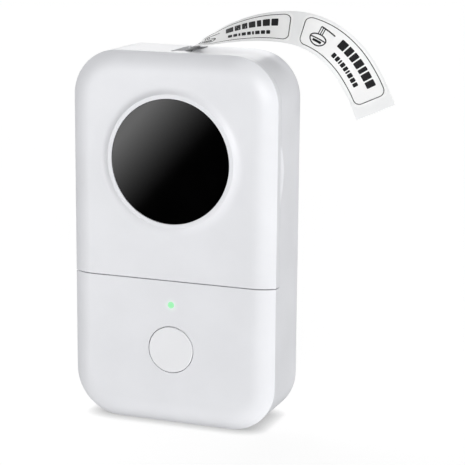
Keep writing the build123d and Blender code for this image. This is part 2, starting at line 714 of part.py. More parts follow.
spring_wire = 0.2
spring_y = -0.6
spring_coils = 5
spring_gap = 0.05
spring_pitch = (spring_top - spring_bottom - 2 * spring_wire - 2 * spring_gap) / spring_coils
with BuildPart() as head_spring:
    with BuildLine():
        helix = Helix(spring_pitch, spring_pitch * spring_coils, spring_radius - spring_wire,
                      center=(spring_x, spring_y, spring_bottom + spring_wire + spring_gap))
    with BuildSketch(Plane(origin=helix @ 0, z_dir=helix % 0)):
        Circle(spring_wire)
    sweep(is_frenet=True)
save(head_spring, "head_spring")

with BuildPart() as head_cable:
    with BuildSketch(Plane.YZ.offset(cable_x - cable_width / 2)):
        with BuildLine():
            FilletPolyline((-0.9, cable_low_z), (-0.9, 51.0), (cable_y, 54.0), (cable_y, cable_top_z),
                           (5.0, cable_top_z), radius=1.6)
            offset(amount=cable_thickness / 2, side=Side.BOTH)
        make_face()
    extrude(amount=cable_width)
save(head_cable, "head_cable")

# ---------------------------------------------------------------- platen, motor and gears
def spur_gear_profile(teeth, centre, turn):
    """Sketch an involute gear with one tooth at the turn angle (degrees) from +X, on the XZ plane."""
    pitch = gear_module * teeth / 2
    base = pitch * cos(radians(pressure_angle))
    tip = pitch + 0.85 * gear_module
    root = pitch - 1.15 * gear_module
    flank_roll = tan(radians(pressure_angle)) - radians(pressure_angle)
    half_at_base = (pi * gear_module / 2 - backlash) / 2 / pitch + flank_roll
    radii = [base + (tip - base) * step / 4 for step in range(5)]
    flank = []
    for radius in radii:
        involute = sqrt((radius / base) ** 2 - 1) - acos(base / radius)
        angle = half_at_base - involute
        flank.append((radius * cos(angle), radius * sin(angle)))
    with BuildSketch() as tooth:
        with BuildLine():
            foot = (root * 0.94 * cos(half_at_base), root * 0.94 * sin(half_at_base))
            Polyline((0, 0), foot, flank[0])
            Spline(*flank)
            RadiusArc(flank[-1], (flank[-1][0], -flank[-1][1]), tip)
            Spline(*[(x, -y) for x, y in reversed(flank)])
            Polyline((flank[0][0], -flank[0][1]), (foot[0], -foot[1]), (0, 0))
        make_face()
    with BuildSketch(facing_front(gear_y + gear_width)) as profile:
        with Locations((centre.X, centre.Z)):
            Circle(root)
            with PolarLocations(0, teeth, start_angle=turn):
                add(tooth.sketch)
    return profile.sketch


def meshed_turn(teeth, partner_turn, partner_teeth, partner_angle):
    """Turn of a gear in mesh with a partner that lies at partner_angle from it."""
    partner_step = 360 / partner_teeth
    partner_phase = ((partner_angle + 180 - partner_turn) / partner_step) % 1
    return partner_angle - (0.5 - partner_phase) * 360 / teeth


idler_turn = meshed_turn(idler_teeth, 0.0, platen_teeth, train_angle + 180)
pinion_turn = meshed_turn(pinion_teeth, idler_turn, idler_teeth, train_angle + 180)


def spur_gear(teeth, centre, turn, bore):
    """Spur gear with a round bore."""
    with BuildPart() as gear:
        extrude(spur_gear_profile(teeth, centre, turn), amount=gear_width)
        rod(centre.X, centre.Z, bore, gear_y - 1, gear_y + gear_width + 1, mode=Mode.SUBTRACT)
    return gear


save(spur_gear(platen_teeth, platen_centre, 0.0, shaft_radius), "platen_gear")
save(spur_gear(idler_teeth, idler_centre, idler_turn, idler_pin_radius + running_gap), "idler_gear")
save(spur_gear(pinion_teeth, motor_centre, pinion_turn, motor_shaft_radius), "motor_pinion")

roller_front_y = arm_front_y
roller_back_y = plate_y - 0.45
with BuildPart() as platen_roller:
    rod(platen_centre.X, platen_centre.Z, platen_radius, roller_front_y, roller_back_y)
    rod(platen_centre.X, platen_centre.Z, shaft_radius, roller_front_y, roller_back_y, mode=Mode.SUBTRACT)
save(platen_roller, "platen_roller")

with BuildPart() as platen_shaft:
    rod(platen_centre.X, platen_centre.Z, shaft_radius, bracket_front_y - 0.3, gear_y + gear_width)
    chamfer(platen_shaft.edges().filter_by(GeomType.CIRCLE), 0.2)
save(platen_shaft, "platen_shaft")

with BuildPart() as platen_bushes:
    for y_low, y_high, flange_low in ((bracket_front_y - 0.1, bracket_back_y, bracket_back_y),
                                      (plate_y, plate_back_y, plate_y - 0.3)):
        rod(platen_centre.X, platen_centre.Z, bush_radius, y_low, y_high)
        rod(platen_centre.X, platen_centre.Z, bush_radius + 0.7, flange_low, flange_low + 0.3)
    rod(platen_centre.X, platen_centre.Z, shaft_radius + running_gap, bracket_front_y - 2, plate_back_y + 1,
        mode=Mode.SUBTRACT)
save(platen_bushes, "platen_bushes")

with BuildPart() as stepper_motor:
    rod(motor_centre.X, motor_centre.Z, motor_radius, -2.4, plate_y - 0.8)
    fillet(stepper_motor.edges().sort_by(Axis.Y)[0], 0.6)
    with BuildSketch(facing_front(plate_y)):
        for spot in motor_ear_spots:
            with Locations((spot.X, spot.Z)):
                Circle(2.0)
        with Locations((motor_centre.X, motor_centre.Z)):
            SlotCenterToCenter(2 * motor_ear_reach, 4.0, rotation=motor_ear_angles[0])
            Circle(motor_radius)
    extrude(amount=0.8)
    rod(motor_centre.X, motor_centre.Z, 2.5, plate_y, plate_back_y)
    rod(motor_centre.X, motor_centre.Z, motor_shaft_radius + running_gap, -1, plate_back_y + 1,
        mode=Mode.SUBTRACT)
    for spot in motor_ear_spots:
        rod(spot.X, spot.Z, small_screw_radius + slip_gap, plate_y - 1.5, plate_y + 0.1,
            mode=Mode.SUBTRACT)
save(stepper_motor, "stepper_motor")

with BuildPart() as motor_shaft:
    rod(motor_centre.X, motor_centre.Z, motor_shaft_radius, -0.8, gear_y + gear_width)
save(motor_shaft, "motor_shaft")

motor_screw_spots = [(spot.X, spot.Z) for spot in motor_ear_spots]
save(cross_head_screws(motor_screw_spots, plate_y - 0.8, 1.5, 0.9, small_screw_radius, 1.8, 1),
     "motor_screws")

with BuildPart() as idler_pin:
    rod(idler_centre.X, idler_centre.Z, idler_pin_radius, plate_y, gear_y + gear_width + 0.1)
    rod(idler_centre.X, idler_centre.Z, idler_pin_radius + 0.6, gear_y + gear_width + 0.1,
        gear_y + gear_width + pin_head)
save(idler_pin, "idler_pin")

# ---------------------------------------------------------------- sensor, tear bar, roll
with BuildPart() as gap_sensor:
    with BuildSketch(along_tape(5.0)):
        with Locations(((sensor_low + sensor_high) / 2, -1.4)):
            Rectangle(sensor_high - sensor_low - 0.6, 1.6)
    extrude(amount=5.6)
    chamfer(gap_sensor.edges().filter_by(Axis.Y), 0.15)
save(gap_sensor, "gap_sensor")

tooth_count = 19
tooth_pitch = (slot_back_y - slot_front_y - 0.6) / tooth_count
tear_low_z = top_inner_z - 2.2
tear_edge_z = body_height - 0.1
tear_tip_z = tear_edge_z + 0.45
with BuildPart() as tear_bar:
    with BuildSketch(Plane.YZ.offset(slot_right - 0.35)):
        with BuildLine():
            tear_points = [(slot_front_y + 0.3, tear_edge_z)]
            for tooth in range(tooth_count):
                left = slot_front_y + 0.3 + tooth * tooth_pitch
                tear_points += [(left + tooth_pitch / 2, tear_tip_z), (left + tooth_pitch, tear_edge_z)]
            tear_points += [(slot_back_y - 0.3, tear_low_z), (slot_front_y + 0.3, tear_low_z)]
            Polyline(*tear_points, close=True)
        make_face()
    extrude(amount=0.35)
save(tear_bar, "tear_bar")

post_front_y = tape_front_y - 0.5
with BuildPart() as roll_post:
    rod(0, window_z, core_bore - 0.08, post_front_y, plate_y)
    rod(0, window_z, core_bore - 1.6, post_front_y - 1, plate_y - 1.6, mode=Mode.SUBTRACT)
    rod(0, window_z, 3.0, plate_y, plate_back_y)
    chamfer(roll_post.edges().sort_by(Axis.Y)[-1], 0.3)
save(roll_post, "roll_post")

with BuildPart() as roll_core:
    rod(0, window_z, core_radius, tape_front_y, tape_back_y)
    rod(0, window_z, core_bore, tape_front_y - 1, tape_back_y + 1, mode=Mode.SUBTRACT)
save(roll_core, "roll_core")

with BuildPart() as label_roll:
    rod(0, window_z, roll_radius, tape_front_y, tape_back_y)
    rod(0, window_z, core_radius, tape_front_y - 1, tape_back_y + 1, mode=Mode.SUBTRACT)
save(label_roll, "label_roll")

# ---------------------------------------------------------------- label strip
# Beyond the slot the strip curls to the right and twists its printed side to the front.
strip_offsets = [
    (0, 0, 0), (7.5, 1.9, 3.9), (17.0, 4.3, 6.9), (27.5, 7.3, 8.2), (36.5, 9.7, 7.4),
    (45.0, 11.3, 3.8), (52.0, 11.7, -2.0), (58.0, 10.7, -9.7), (63.5, 8.3, -19.5),
]
strip_places = [Vector(exit_x, tape_y, body_height) + Vector(*offset) for offset in strip_offsets]
# lift and turn of the strip's width at each place, in degrees
strip_turns = [(0, 0), (15, -12), (29, -14), (41, -12), (50, 0), (56, 18), (58, 38), (54, 52), (48, 60)]
strip_start = Vector(touch_point.X, tape_y, touch_point.Z)

with BuildPart() as label_strip:
    with BuildLine():
        strip_path = Spline(*strip_places, tangents=[tuple(tape_along), (0.45, -0.2, -0.87)])
    # straight stretch from the roll to the slot
    with BuildSketch(Plane(origin=strip_start, x_dir=(0, 1, 0), z_dir=tape_along)):
        Rectangle(tape_width, tape_thickness)
    extrude(amount=(exit_point - touch_point).length)
    # curled stretch outside
    for place, (lift, turn) in zip(strip_places, strip_turns):
        level = cos(radians(lift))
        width_way = Vector(sin(radians(turn)) * level, cos(radians(turn)) * level, sin(radians(lift)))
        way = strip_path.tangent_at(strip_path.param_at_point(place))
        width_way = (width_way - way * width_way.dot(way)).normalized()
        with BuildSketch(Plane(origin=place, x_dir=width_way, z_dir=way)):
            Rectangle(tape_width, tape_thickness)
    loft()
save(label_strip, "label_strip")
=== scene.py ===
import json
import random
from math import cos, pi, radians, sin

import bpy
import numpy as np
from mathutils import Matrix, Vector


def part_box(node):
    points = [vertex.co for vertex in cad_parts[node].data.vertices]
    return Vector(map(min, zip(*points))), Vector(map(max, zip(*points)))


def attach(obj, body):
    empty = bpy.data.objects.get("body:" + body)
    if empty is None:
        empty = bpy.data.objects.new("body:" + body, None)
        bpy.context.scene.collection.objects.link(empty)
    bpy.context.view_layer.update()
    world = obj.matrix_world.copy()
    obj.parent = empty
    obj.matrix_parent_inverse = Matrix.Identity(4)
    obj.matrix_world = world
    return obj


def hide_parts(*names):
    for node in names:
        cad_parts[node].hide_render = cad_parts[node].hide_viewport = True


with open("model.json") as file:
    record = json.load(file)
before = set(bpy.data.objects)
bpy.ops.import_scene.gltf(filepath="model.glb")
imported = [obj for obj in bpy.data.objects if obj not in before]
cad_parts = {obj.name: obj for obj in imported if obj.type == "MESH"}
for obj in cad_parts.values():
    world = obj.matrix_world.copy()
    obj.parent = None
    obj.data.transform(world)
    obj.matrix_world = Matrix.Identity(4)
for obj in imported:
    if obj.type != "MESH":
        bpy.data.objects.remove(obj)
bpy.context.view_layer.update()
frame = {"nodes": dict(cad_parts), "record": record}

scene = bpy.context.scene
MM = 0.001


# ---------------------------------------------------------------- camera
CAMERA_YAW = radians(20.587)
CAMERA_PITCH = radians(12.453)
CAMERA_ROLL = radians(0.465)
CAMERA_DISTANCE = 608.95 * MM
CAMERA_SIDE = 20.1485 * MM
CAMERA_RISE = 3.0513 * MM
CAMERA_AIM = Vector((0, -11.15, 65.5)) * MM
CAMERA_LENS = 136.14


def direction(azimuth, elevation):
    """Unit vector from the object; azimuth 0 is the front and positive turns to the right."""
    return Vector((sin(azimuth) * cos(elevation), -cos(azimuth) * cos(elevation), sin(elevation)))


def make_camera():
    back = direction(CAMERA_YAW, CAMERA_PITCH)
    level = Vector((cos(CAMERA_YAW), sin(CAMERA_YAW), 0))
    rise = back.cross(level)
    right = level * cos(CAMERA_ROLL) + rise * sin(CAMERA_ROLL)
    up = rise * cos(CAMERA_ROLL) - level * sin(CAMERA_ROLL)
    camera = bpy.data.objects.new("camera", bpy.data.cameras.new("camera"))
    scene.collection.objects.link(camera)
    place = CAMERA_AIM + right * CAMERA_SIDE + up * CAMERA_RISE + back * CAMERA_DISTANCE
    turn = Matrix((right, up, back)).transposed().to_4x4()
    camera.matrix_world = Matrix.Translation(place) @ turn
    camera.data.lens = CAMERA_LENS
    camera.data.sensor_width = 36
    camera.data.clip_start = 0.01
    camera.data.clip_end = 50
    scene.camera = camera


make_camera()


# ---------------------------------------------------------------- node helpers
def node(tree, kind, inputs=None, **settings):
    """New shader node. Inputs are values, or sockets to link from."""
    made = tree.nodes.new(kind)
    for key, value in settings.items():
        setattr(made, key, value)
    for key, value in (inputs or {}).items():
        if isinstance(value, bpy.types.NodeSocket):
            tree.links.new(value, made.inputs[key])
        else:
            made.inputs[key].default_value = value
    return made


def math(tree, operation, first, second=0.0):
    """Result of one operation on numbers or sockets."""
    return node(tree, "ShaderNodeMath", {0: first, 1: second}, operation=operation).outputs[0]


def spread(tree, value, low, high, start=0.3, end=0.7):
    """Value taken from the range start-end to the range low-high."""
    inputs = {"Value": value, "From Min": start, "From Max": end, "To Min": low, "To Max": high}
    return node(tree, "ShaderNodeMapRange", inputs).outputs["Result"]


def tint(tree, share, first, second):
    """Colour between the first and the second."""
    mix = node(tree, "ShaderNodeMix", {"Factor": share}, data_type="RGBA")
    for key, colour in ((6, first), (7, second)):
        if isinstance(colour, bpy.types.NodeSocket):
            tree.links.new(colour, mix.inputs[key])
        else:
            mix.inputs[key].default_value = (*colour, 1)
    return mix.outputs[2]


def coordinates(tree, scale=(1, 1, 1)):
    """Object coordinates in metres, scaled along each axis."""
    source = node(tree, "ShaderNodeTexCoord").outputs["Object"]
    return node(tree, "ShaderNodeMapping", {"Vector": source, "Scale": scale}).outputs["Vector"]


def noise(tree, vector, scale, detail=2.0, roughness=0.5):
    inputs = {"Vector": vector, "Scale": scale, "Detail": detail, "Roughness": roughness}
    return node(tree, "ShaderNodeTexNoise", inputs).outputs["Fac"]


def bump(tree, shader, height, strength, distance):
    inputs = {"Height": height, "Strength": strength, "Distance": distance}
    made = node(tree, "ShaderNodeBump", inputs)
    tree.links.new(made.outputs["Normal"], shader.inputs["Normal"])


def material(name, **sockets):
    """New material. Sockets hold uniform values for its Principled shader."""
    made = bpy.data.materials.new(name)
    made.use_nodes = True
    tree = made.node_tree
    shader = tree.nodes["Principled BSDF"]
    for key, value in sockets.items():
        shader.inputs[key.replace("_", " ")].default_value = value
    return made, tree, shader


def link(tree, source, shader, key):
    tree.links.new(source, shader.inputs[key])


def darker(colour, share):
    return tuple(channel * share for channel in colour)


# ---------------------------------------------------------------- finishes
CASE_WHITE = (0.805, 0.812, 0.84)
LIGHT_GREEN = (0.42, 0.9, 0.52)
LIGHT_CORE = (0.33, 0.87, 0.44)
LIGHT_LEVEL = 0.78
# Painted glow round the light guide: its strength, and the distances where its fade starts and ends.
PAINTED_GLOW_LEVEL = 0.16
PAINTED_GLOW_START = 0.9 * MM
PAINTED_GLOW_END = 3.4 * MM
ROLL_HEIGHT = 94 * MM


def moulded(name, colour, roughness=(0.3, 0.38), grain=2400, depth=0.05, shade=0.96, **sockets):
    """Moulded plastic: a slow drift of tone and gloss, and a fine tool texture."""
    made, tree, shader = material(name, **sockets)
    place = coordinates(tree)
    drift = noise(tree, place, 55, 3.0)
    fine = noise(tree, place, grain, 3.0, 0.6)
    link(tree, tint(tree, spread(tree, drift, 0, 1), darker(colour, shade), colour), shader, "Base Color")
    total = math(tree, "ADD", math(tree, "MULTIPLY", fine, 0.35), math(tree, "MULTIPLY", drift, 0.65))
    link(tree, spread(tree, total, *roughness, 0.35, 0.65), shader, "Roughness")
    bump(tree, shader, fine, depth, 0.00002)
    return made


def brushed(name, colour, roughness=(0.22, 0.36), scale=(60, 60, 3000)):
    """Metal with fine lines along the axes that have the smallest scale."""
    made, tree, shader = material(name, Metallic=1.0)
    lines = noise(tree, coordinates(tree, scale), 1.0, 4.0, 0.6)
    blotch = noise(tree, coordinates(tree), 300, 2.0)
    link(tree, tint(tree, spread(tree, lines, 0, 1), darker(colour, 0.82), colour), shader, "Base Color")
    total = math(tree, "ADD", math(tree, "MULTIPLY", lines, 0.6), math(tree, "MULTIPLY", blotch, 0.4))
    link(tree, spread(tree, total, *roughness), shader, "Roughness")
    bump(tree, shader, lines, 0.12, 0.00001)
    return made


def circuit_board(name):
    """Green solder mask with traces under it, a faint glass weave and scattered vias."""
    made, tree, shader = material(name, Coat_Weight=0.35, Coat_Roughness=0.18)
    place = coordinates(tree)
    axes = node(tree, "ShaderNodeSeparateXYZ", {"Vector": place}).outputs
    patch = noise(tree, coordinates(tree, (170, 170, 170)), 1.0, 0.0)
    across = math(tree, "PINGPONG", axes["X"], 0.00045)
    along = math(tree, "PINGPONG", axes["Z"], 0.00045)
    line_x = math(tree, "LESS_THAN", across, 0.00013)
    line_z = math(tree, "LESS_THAN", along, 0.00013)
    side = math(tree, "GREATER_THAN", patch, 0.5)
    traces = node(tree, "ShaderNodeMix", {"Factor": side, 2: line_x, 3: line_z}).outputs[0]
    routed = math(tree, "GREATER_THAN", math(tree, "PINGPONG", patch, 0.06), 0.022)
    traces = math(tree, "MULTIPLY", traces, routed)
    weave = math(tree, "MULTIPLY", noise(tree, place, 5200), 0.4)
    mask = tint(tree, traces, (0.008, 0.11, 0.05), (0.03, 0.26, 0.12))
    cells = node(tree, "ShaderNodeTexVoronoi", {"Vector": place, "Scale": 330}).outputs["Distance"]
    via = math(tree, "LESS_THAN", cells, 0.085)
    link(tree, tint(tree, via, mask, (0.62, 0.6, 0.52)), shader, "Base Color")
    link(tree, math(tree, "MULTIPLY", via, 0.9), shader, "Metallic")
    link(tree, spread(tree, weave, 0.32, 0.5, 0.1, 0.3), shader, "Roughness")
    bump(tree, shader, math(tree, "ADD", traces, weave), 0.5, 0.00003)
    return made


def rubber(name, colour, grain=3000, depth=0.25):
    """Matt rubber or foam with an open fine grain."""
    made, tree, shader = material(name, Specular_IOR_Level=0.35)
    place = coordinates(tree)
    fine = noise(tree, place, grain, 4.0, 0.65)
    dust = noise(tree, place, 240, 3.0)
    link(tree, tint(tree, spread(tree, dust, 0, 1), colour, darker(colour, 1.7)), shader, "Base Color")
    link(tree, spread(tree, fine, 0.62, 0.82), shader, "Roughness")
    bump(tree, shader, fine, depth, 0.00004)
    return made


def foil(name):
    """Laminated pouch foil, a little crumpled, with an embossed texture."""
    made, tree, shader = material(name, Metallic=0.85)
    place = coordinates(tree)
    crumple = noise(tree, coordinates(tree, (1, 1, 0.5)), 260, 4.0, 0.6)
    cells = node(tree, "ShaderNodeTexVoronoi", {"Vector": place, "Scale": 1500}).outputs["Distance"]
    tone = tint(tree, spread(tree, crumple, 0, 1), (0.5, 0.51, 0.53), (0.72, 0.73, 0.74))
    link(tree, tone, shader, "Base Color")
    link(tree, spread(tree, crumple, 0.25, 0.42), shader, "Roughness")
    height = math(tree, "ADD", crumple, math(tree, "MULTIPLY", cells, 0.25))
    bump(tree, shader, height, 0.5, 0.00008)
    return made


def ribbon_cable(name):
    """Amber polyimide film over copper conductors that run along it."""
    made, tree, shader = material(name, Coat_Weight=0.6, Coat_Roughness=0.12)
    place = coordinates(tree)
    axes = node(tree, "ShaderNodeSeparateXYZ", {"Vector": place}).outputs
    lines = math(tree, "LESS_THAN", math(tree, "PINGPONG", axes["Y"], 0.00025), 0.00013)
    waves = noise(tree, place, 600, 2.0)
    film = tint(tree, lines, (0.42, 0.16, 0.02), (0.72, 0.36, 0.1))
    link(tree, film, shader, "Base Color")
    link(tree, math(tree, "MULTIPLY", lines, 0.5), shader, "Metallic")
    link(tree, spread(tree, waves, 0.25, 0.4), shader, "Roughness")
    bump(tree, shader, math(tree, "ADD", lines, waves), 0.3, 0.00002)
    return made


def paper(name, colour, roughness=(0.42, 0.55)):
    """Coated paper: fibre flecks, a slightly uneven coat."""
    made, tree, shader = material(name)
    fibre = noise(tree, coordinates(tree, (1, 1, 2.5)), 2200, 5.0, 0.65)
    cloud = noise(tree, coordinates(tree), 130, 3.0)
    link(tree, tint(tree, spread(tree, cloud, 0, 1), darker(colour, 0.965), colour), shader, "Base Color")
    link(tree, spread(tree, fibre, *roughness), shader, "Roughness")
    bump(tree, shader, fibre, 0.18, 0.00002)
    return made


def wound_paper(name, colour):
    """Cut edges of a wound tape: each turn has its own tone, by its distance from the roll's axis."""
    made, tree, shader = material(name)
    axes = node(tree, "ShaderNodeSeparateXYZ", {"Vector": coordinates(tree)}).outputs
    rise = math(tree, "SUBTRACT", axes["Z"], ROLL_HEIGHT)
    squares = [math(tree, "MULTIPLY", side, side) for side in (axes["X"], rise)]
    radius = math(tree, "SQRT", math(tree, "ADD", *squares))
    inputs = {"W": radius, "Scale": 5200.0, "Detail": 3.0}
    rings = node(tree, "ShaderNodeTexNoise", inputs, noise_dimensions="1D").outputs["Fac"]
    fibre = noise(tree, coordinates(tree), 1500, 4.0)
    link(tree, tint(tree, spread(tree, rings, 0, 1), darker(colour, 0.72), colour), shader, "Base Color")
    link(tree, spread(tree, fibre, 0.5, 0.68), shader, "Roughness")
    bump(tree, shader, math(tree, "ADD", rings, math(tree, "MULTIPLY", fibre, 0.3)), 0.35, 0.00004)
    return made


def case_plastic(name, painted_glow_at=None):
    """Satin white case moulding. Near the light guide, a painted green glow stands in for the guide's light
    seeping through the wall.
    """
    made = moulded(name, CASE_WHITE, (0.3, 0.37), Coat_Weight=0.12, Coat_Roughness=0.22)
    if painted_glow_at:
        tree = made.node_tree
        shader = tree.nodes["Principled BSDF"]
        # Painted glow: green emission in the plastic, strongest next to the light guide and gone a few mm
        # out.
        gap = node(tree, "ShaderNodeVectorMath", {0: coordinates(tree), 1: painted_glow_at}, operation="DISTANCE")
        near = spread(tree, gap.outputs["Value"], 1, 0, PAINTED_GLOW_START, PAINTED_GLOW_END)
        painted_glow = math(tree, "MULTIPLY", math(tree, "POWER", near, 2.4), PAINTED_GLOW_LEVEL)
        link(tree, painted_glow, shader, "Emission Strength")
        shader.inputs["Emission Color"].default_value = (*LIGHT_GREEN, 1)
    return made


def lit_guide(name, centre, radius):
    """Light guide lit from behind, a deeper green at its middle."""
    made, tree, shader = material(name, Roughness=0.25)
    gap = node(tree, "ShaderNodeVectorMath", {0: coordinates(tree), 1: centre}, operation="DISTANCE")
    edge = spread(tree, gap.outputs["Value"], 0, 1, 0.0, radius)
    sparkle = math(tree, "MULTIPLY", noise(tree, coordinates(tree), 1800), 0.1)
    shade = tint(tree, math(tree, "ADD", edge, sparkle), LIGHT_CORE, LIGHT_GREEN)
    link(tree, tint(tree, edge, darker(LIGHT_CORE, 0.25), darker(LIGHT_GREEN, 0.3)), shader, "Base Color")
    link(tree, shade, shader, "Emission Color")
    shader.inputs["Emission Strength"].default_value = LIGHT_LEVEL
    return made


def smoked_window(name):
    """High gloss smoked window over a black backing."""
    made, tree, shader = material(name, Coat_Weight=1.0, Coat_Roughness=0.02, Specular_IOR_Level=0.3)
    haze = noise(tree, coordinates(tree), 90, 3.0)
    tone = tint(tree, spread(tree, haze, 0, 1), (0.0004, 0.0004, 0.0005), (0.0009, 0.0009, 0.001))
    link(tree, tone, shader, "Base Color")
    link(tree, spread(tree, haze, 0.03, 0.055), shader, "Roughness")
    ripple = noise(tree, coordinates(tree), 40, 1.0)
    bump(tree, shader, ripple, 0.02, 0.00005)
    return made


def printed_ink(name):
    """Thermal print: dense grey-black with a faint mottle."""
    made, tree, shader = material(name, Specular_IOR_Level=0.15)
    mottle = noise(tree, coordinates(tree), 2600, 3.0)
    tone = tint(tree, spread(tree, mottle, 0, 1), (0.006, 0.006, 0.007), (0.02, 0.02, 0.022))
    link(tree, tone, shader, "Base Color")
    link(tree, spread(tree, mottle, 0.45, 0.62), shader, "Roughness")
    return made


guide_low, guide_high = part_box("light_guide")
guide_centre = Vector(((guide_low.x + guide_high.x) / 2, guide_low.y, (guide_low.z + guide_high.z) / 2))
guide_radius = (guide_high.z - guide_low.z) / 2

finishes = {
    "case_white": case_plastic("case_white"),
    "button_white": moulded("button_white", (0.85, 0.855, 0.875)),
    "window_black": smoked_window("window_black"),
    "status_green": lit_guide("status_green", guide_centre, guide_radius),
    "board_green": circuit_board("board_green"),
    "chip_black": moulded("chip_black", (0.022, 0.022, 0.025), (0.45, 0.6), 3400, 0.3),
    "switch_black": moulded("switch_black", (0.03, 0.03, 0.034), (0.4, 0.55), 3000, 0.25),
    "screw_steel": brushed("screw_steel", (0.62, 0.62, 0.63), scale=(900, 900, 900)),
    "socket_steel": brushed("socket_steel", (0.7, 0.7, 0.71), (0.2, 0.32)),
    "battery_foil": foil("battery_foil"),
    "foam_grey": rubber("foam_grey", (0.09, 0.09, 0.095), 1600, 0.6),
    "plug_white": moulded("plug_white", (0.84, 0.82, 0.76), (0.4, 0.5), 2600, 0.12),
    "lead_red": rubber("lead_red", (0.42, 0.02, 0.02), 2600, 0.12),
    "chassis_grey": moulded("chassis_grey", (0.27, 0.28, 0.3), (0.42, 0.56), 2400, 0.4, 0.9),
    "post_white": moulded("post_white", (0.8, 0.8, 0.81), (0.36, 0.46), 2600, 0.14),
    "arm_aluminium": brushed("arm_aluminium", (0.76, 0.77, 0.78), (0.26, 0.4), (3000, 60, 3000)),
    "head_ceramic": moulded("head_ceramic", (0.8, 0.79, 0.74), (0.14, 0.24), 3000, 0.05),
    "shaft_steel": brushed("shaft_steel", (0.66, 0.66, 0.67), (0.16, 0.28), (60, 3000, 60)),
    "roller_rubber": rubber("roller_rubber", (0.024, 0.024, 0.026)),
    "bush_black": moulded("bush_black", (0.035, 0.035, 0.035), (0.42, 0.55), 3000, 0.2),
    "gear_white": moulded("gear_white", (0.84, 0.83, 0.78), (0.34, 0.44), 2600, 0.1),
    "motor_steel": brushed("motor_steel", (0.6, 0.6, 0.61), (0.26, 0.4), (900, 60, 900)),
    "pinion_brass": brushed("pinion_brass", (0.72, 0.5, 0.2), (0.22, 0.34), (60, 2600, 60)),
    "cable_amber": ribbon_cable("cable_amber"),
    "sensor_black": moulded("sensor_black", (0.025, 0.025, 0.03), (0.3, 0.42), 3000, 0.15),
    "core_board": wound_paper("core_board", (0.72, 0.66, 0.56)),
    "label_paper": paper("label_paper", (0.955, 0.955, 0.955)),
}
liner_paper = paper("liner_paper", (0.9, 0.905, 0.91), (0.34, 0.46))
roll_paper = wound_paper("roll_paper", (0.9, 0.9, 0.89))
label_ink = printed_ink("label_ink")
# The front panel's plastic carries the painted glow round the light guide.
panel_plastic = case_plastic("panel_plastic", painted_glow_at=guide_centre)

for row in frame["record"]["subparts"]:
    for holder in frame["nodes"][row["node"]].material_slots:
        holder.material = finishes[row["material_slot"]]
for holder in frame["nodes"]["front_panel"].material_slots:
    holder.material = panel_plastic


# ---------------------------------------------------------------- mesh helpers
MESH_STEP = 0.8 * MM


def line_section(spot, place, way, width, bottom, top):
    """Section of a line at an (s, t) place, square to the way that it runs."""
    (s, t), (ds, dt) = place, way
    size = (ds ** 2 + dt ** 2) ** 0.5
    ns, nt = -dt / size * width / 2, ds / size * width / 2
    return [spot(s - ns, t - nt, bottom), spot(s + ns, t + nt, bottom),
            spot(s + ns, t + nt, top), spot(s - ns, t - nt, top)]


class Shape:
    """Vertices and faces of one piece, added part by part."""

    def __init__(self):
        self.points, self.faces, self.paints = [], [], []

    def loft(self, sections, paint=0, closed=False):
        """Skin over sections, each a ring of as many points; capped unless it closes on itself."""
        first, count, around = len(self.points), len(sections), len(sections[0])
        for section in sections:
            self.points.extend(section)
        for i in range(count if closed else count - 1):
            here, there = first + i * around, first + (i + 1) % count * around
            for j in range(around):
                k = (j + 1) % around
                self.faces.append((here + j, here + k, there + k, there + j))
        if not closed:
            last = first + (count - 1) * around
            self.faces.append(tuple(range(first + around - 1, first - 1, -1)))
            self.faces.append(tuple(range(last, last + around)))
        self.paints.extend([paint] * (len(self.faces) - len(self.paints)))

    def slab(self, spot, start, end, low, high, radius, bottom, top, paint=0):
        """Flat piece with rounded corners, laid on the surface that spot(s, t, height) gives."""
        middle, half = (low + high) / 2, (high - low) / 2
        corner = [radius * (1 - cos(radians(a))) for a in (0, 15, 30, 45, 60, 75)]
        run = end - start
        count = max(2, int((run - 2 * radius) / MESH_STEP) + 1)
        straight = np.linspace(radius, run - radius, count)
        steps = corner + list(straight) + [run - c for c in reversed(corner)]
        sections = []
        for step in steps:
            short = radius - min(step, run - step, radius)
            reach = half - radius + (max(radius ** 2 - short ** 2, 0)) ** 0.5
            s = start + step
            sections.append([spot(s, middle + way * reach, height)
                             for way, height in ((-1, bottom), (1, bottom), (1, top), (-1, top))])
        self.loft(sections, paint)

    def stroke(self, spot, path, width, bottom, top, paint=0):
        """Closed line of one width along a path of (s, t) points."""
        sections = []
        for i, place in enumerate(path):
            before, after = path[i - 1], path[(i + 1) % len(path)]
            way = (after[0] - before[0], after[1] - before[1])
            sections.append(line_section(spot, place, way, width, bottom, top))
        self.loft(sections, paint, closed=True)

    def bar(self, spot, start, end, width, bottom, top, paint=0):
        """Straight line of one width from one (s, t) point to another."""
        way = (end[0] - start[0], end[1] - start[1])
        count = max(2, int((way[0] ** 2 + way[1] ** 2) ** 0.5 / MESH_STEP) + 1)
        sections = []
        for share in np.linspace(0, 1, count):
            place = (start[0] + way[0] * share, start[1] + way[1] * share)
            sections.append(line_section(spot, place, way, width, bottom, top))
        self.loft(sections, paint)

    def piece(self, name, body, materials, sharp=35):
        """Object made of the shape, riding on a body. Edges over the sharp angle stay hard."""
        mesh = bpy.data.meshes.new(name)
        mesh.from_pydata([tuple(p) for p in self.points], [], self.faces)
        for finish in materials:
            mesh.materials.append(finish)
        mesh.polygons.foreach_set("material_index", self.paints)
        mesh.polygons.foreach_set("use_smooth", [True] * len(self.faces))
        mesh.set_sharp_from_angle(angle=radians(sharp))
        mesh.validate()
        made = bpy.data.objects.new(name, mesh)
        scene.collection.objects.link(made)
        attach(made, body)
        return made


